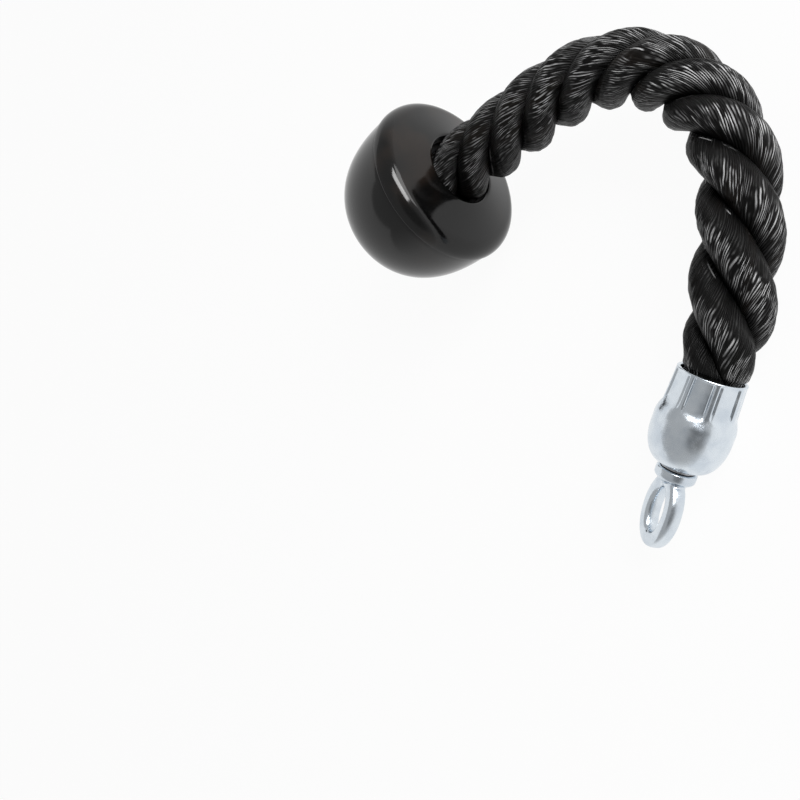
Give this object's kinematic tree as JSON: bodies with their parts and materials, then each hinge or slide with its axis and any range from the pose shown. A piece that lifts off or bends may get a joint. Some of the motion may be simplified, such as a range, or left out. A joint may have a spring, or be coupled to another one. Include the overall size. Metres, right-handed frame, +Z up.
{
  "type": "triceps rope attachment",
  "caption": "Single-grip triceps rope: a laid rope with a domed stopper at one end and a crimped steel ferrule with a swivel eye at the other.",
  "frame": {"origin": "middle of the bounding box, on the ground that the attachment lies on", "axes": "+Z up; +X from the stopper towards the rope's bend; the swivel eye points towards -Y"},
  "size_m": [0.2076, 0.1916, 0.0772],
  "materials": {
    "rope": "black three-strand fibre rope, slightly glossy yarns",
    "stopper": "smooth moulded black plastic",
    "plated_steel": "bright plated steel",
    "dull_steel": "plain steel",
    "tape": "matt binding tape"
  },
  "bodies": {
    "ferrule_side": {"ferrule": "plated_steel", "strand_1_ferrule": "rope", "strand_2_ferrule": "rope", "strand_3_ferrule": "rope", "ferrule_end_tape": "tape"},
    "eye": {"swivel_eye": "plated_steel", "swivel_nut": "dull_steel", "swivel_washer": "dull_steel", "collar_washer": "dull_steel"},
    "grip": {"strand_1_grip": "rope", "strand_2_grip": "rope", "strand_3_grip": "rope", "clamp_ring": "dull_steel", "grip_end_tape": "tape", "stop_washer": "dull_steel"},
    "stopper": {"stopper_dome": "stopper", "stopper_face": "stopper"}
  },
  "joints": [
    {"name": "eye_swivel", "type": "hinge", "parent": "ferrule_side", "child": "eye", "pos_m": [0.07955, -0.03252, 0.01471], "axis": [0.3799, 0.925, 0.0065], "continuous": true},
    {"name": "rope_flex", "type": "hinge", "parent": "ferrule_side", "child": "grip", "pos_m": [0.07179, 0.06428, 0.02186], "axis": [0.1347, -0.0623, 0.9889], "range_deg": [-60, 20], "deforming": ["strand_1_ferrule", "strand_2_ferrule", "strand_3_ferrule", "strand_1_grip", "strand_2_grip", "strand_3_grip"]},
    {"name": "stopper_turn", "type": "hinge", "parent": "grip", "child": "stopper", "pos_m": [-0.05598, 0.05287, 0.03855], "axis": [0.9253, 0.3648, -0.103], "continuous": true}
  ]
}
